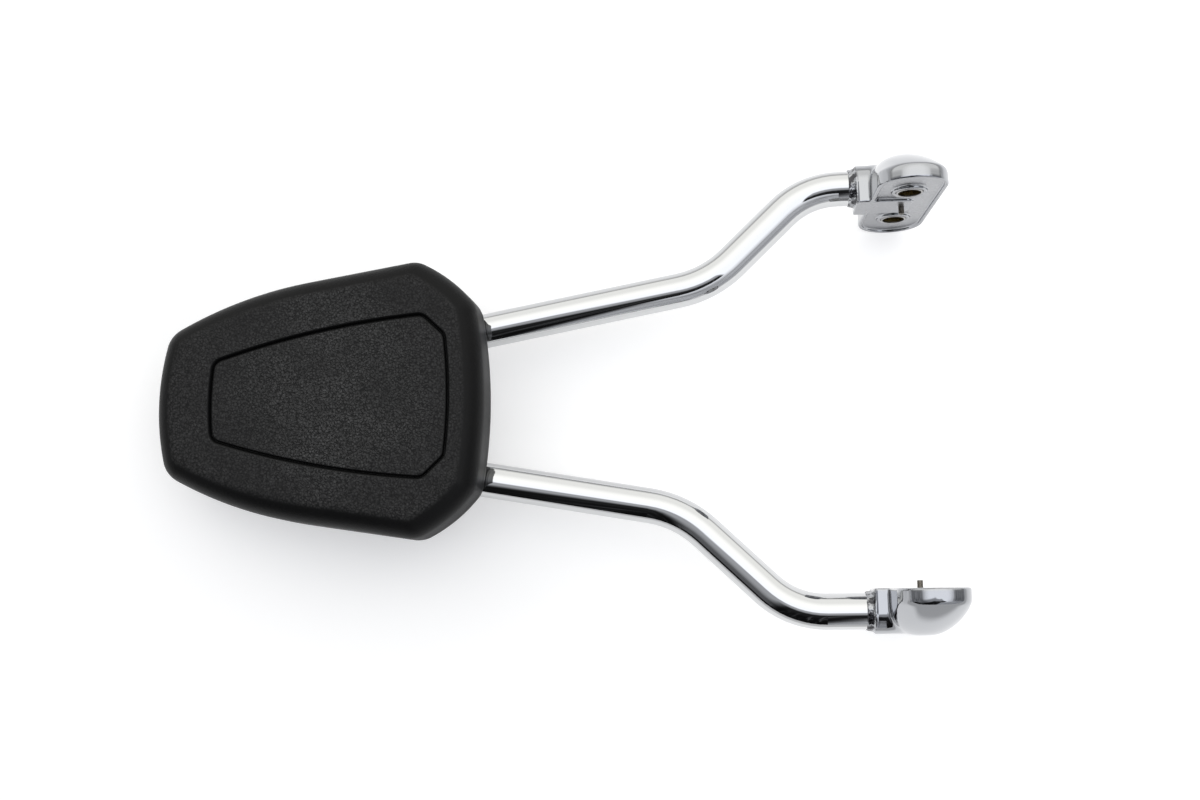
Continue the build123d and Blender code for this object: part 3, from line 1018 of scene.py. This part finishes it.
def wall_bands(tree, turn, rise):
    """Uneven light and dark bands that lie along the near wall."""
    return spread(tree, room_noise(tree, turn, rise, BAND_PITCH), *BAND_RANGE, *BAND_LEVEL)


def end_cards(tree, across, rise):
    """1 where a dark card stands off each end of the bar."""
    width = spread(tree, maths(tree, "ABSOLUTE", across), *END_CARD_HALF_WIDTH, 1.0, 0.0)
    foot = spread(tree, rise, *rise_of(END_CARD_FOOT_DEG))
    top = spread(tree, rise, *rise_of(END_CARD_TOP_DEG), 1.0, 0.0)
    return product(tree, width, foot, top)


def room_light(tree, far, turn, rise):
    """Light of the open room: a far wall and a near wall that run up into the light above."""
    far_wall = spread(tree, rise, *FAR_WALL_HEIGHT, HORIZON_LEVEL, FAR_WALL_LEVEL)
    near_wall = product(tree, wall_bands(tree, turn, rise), NEAR_WALL_LEVEL)
    wall = blend(tree, far, near_wall, far_wall)
    return blend(tree, spread(tree, rise, *LIGHT_HEIGHT), wall, LIGHT_LEVEL)


def light_left(tree, across, turn, rise):
    """Share of the room's light that the screens and the cards let pass."""
    grey = screen_share(tree, turn, rise, GREY_SCREEN_LEFT_DEG, GREY_SCREEN_TOP_DEG)
    black = screen_share(tree, turn, rise, BLACK_SCREEN_LEFT_DEG, BLACK_SCREEN_TOP_DEG)
    skirting = screen_share(tree, turn, rise, SKIRTING_LEFT_DEG, SKIRTING_TOP_DEG)
    streaked = maths(tree, "ADD", BLACK_SCREEN_LEVEL, light_streaks(tree, turn, rise))
    return product(
        tree,
        passing(tree, maths(tree, "MAXIMUM", black, skirting), streaked),
        passing(tree, grey, GREY_SCREEN_LEVEL),
        passing(tree, end_cards(tree, across, rise), END_CARD_LEVEL),
    )


def make_world():
    """Studio: broad soft light from above and the far side, pale walls, and dark screens and cards."""
    world = bpy.data.worlds.new("studio")
    bpy.context.scene.world = world
    world.use_nodes = True
    tree = world.node_tree
    axes = put(tree, "ShaderNodeSeparateXYZ")
    feed(tree, axes, Vector=put(tree, "ShaderNodeTexCoord").outputs["Generated"])
    across = axes.outputs["Y"]
    rise = axes.outputs["Z"]
    turn = maths(tree, "ARCTAN2", across, axes.outputs["X"])
    far = spread(tree, across, *FAR_SIDE)
    strength = product(tree, room_light(tree, far, turn, rise), light_left(tree, across, turn, rise))
    tint = colour_mix(tree, far, SHADE_TINT, LIGHT_TINT)
    feed(tree, tree.nodes["Background"], Color=tint, Strength=strength)


def make_camera():
    data = bpy.data.cameras.new("photo_camera")
    data.lens = CAMERA_LENS_MM
    data.sensor_width = CAMERA_SENSOR_MM
    camera = bpy.data.objects.new("photo_camera", data)
    camera.location = CAMERA_AT
    camera.rotation_euler = [math.radians(angle) for angle in CAMERA_TURN_DEG]
    bpy.context.scene.collection.objects.link(camera)
    bpy.context.scene.camera = camera


# The whole scene


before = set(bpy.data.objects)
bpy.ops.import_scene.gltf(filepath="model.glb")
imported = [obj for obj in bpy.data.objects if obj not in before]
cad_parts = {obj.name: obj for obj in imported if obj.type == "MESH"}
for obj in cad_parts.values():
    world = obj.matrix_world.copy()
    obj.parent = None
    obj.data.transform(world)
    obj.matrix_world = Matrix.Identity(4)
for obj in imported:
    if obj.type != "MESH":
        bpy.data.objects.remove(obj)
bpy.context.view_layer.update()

make_camera()
make_floor()
make_world()
bpy.context.scene.view_settings.view_transform = "Standard"

plate = plating_group()
film = oil_film_group()
chrome = tube_chrome(plate)
foot = foot_chrome(plate)
brass = bush_brass()
steel = bare_steel("fixing_steel", film, *FIXING_COLOURS)
pin_steel = bare_steel("pin_steel", film, *PIN_COLOURS)
plastic = base_plastic()
for node in ("hoop_tube", "upper_strap", "lower_strap"):
    dress(node, chrome)
for side in ("left", "right"):
    dress(f"{side}_front_bush", brass)
    dress(f"{side}_rear_bush", brass)
    dress(f"{side}_locating_pin", pin_steel)
for node in ("pad_screws", "pad_washers", "pad_t_nuts"):
    dress(node, steel)
dress("pad_base_plate", plastic)

for side in ("left", "right"):
    casting = make_foot(side)
    casting.data.materials.append(foot)
    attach(casting, "root")
    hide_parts(f"{side}_foot")

pad = make_pad()
pad.data.materials.append(pad_skin())
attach(pad, "root")
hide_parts("pad_cushion")
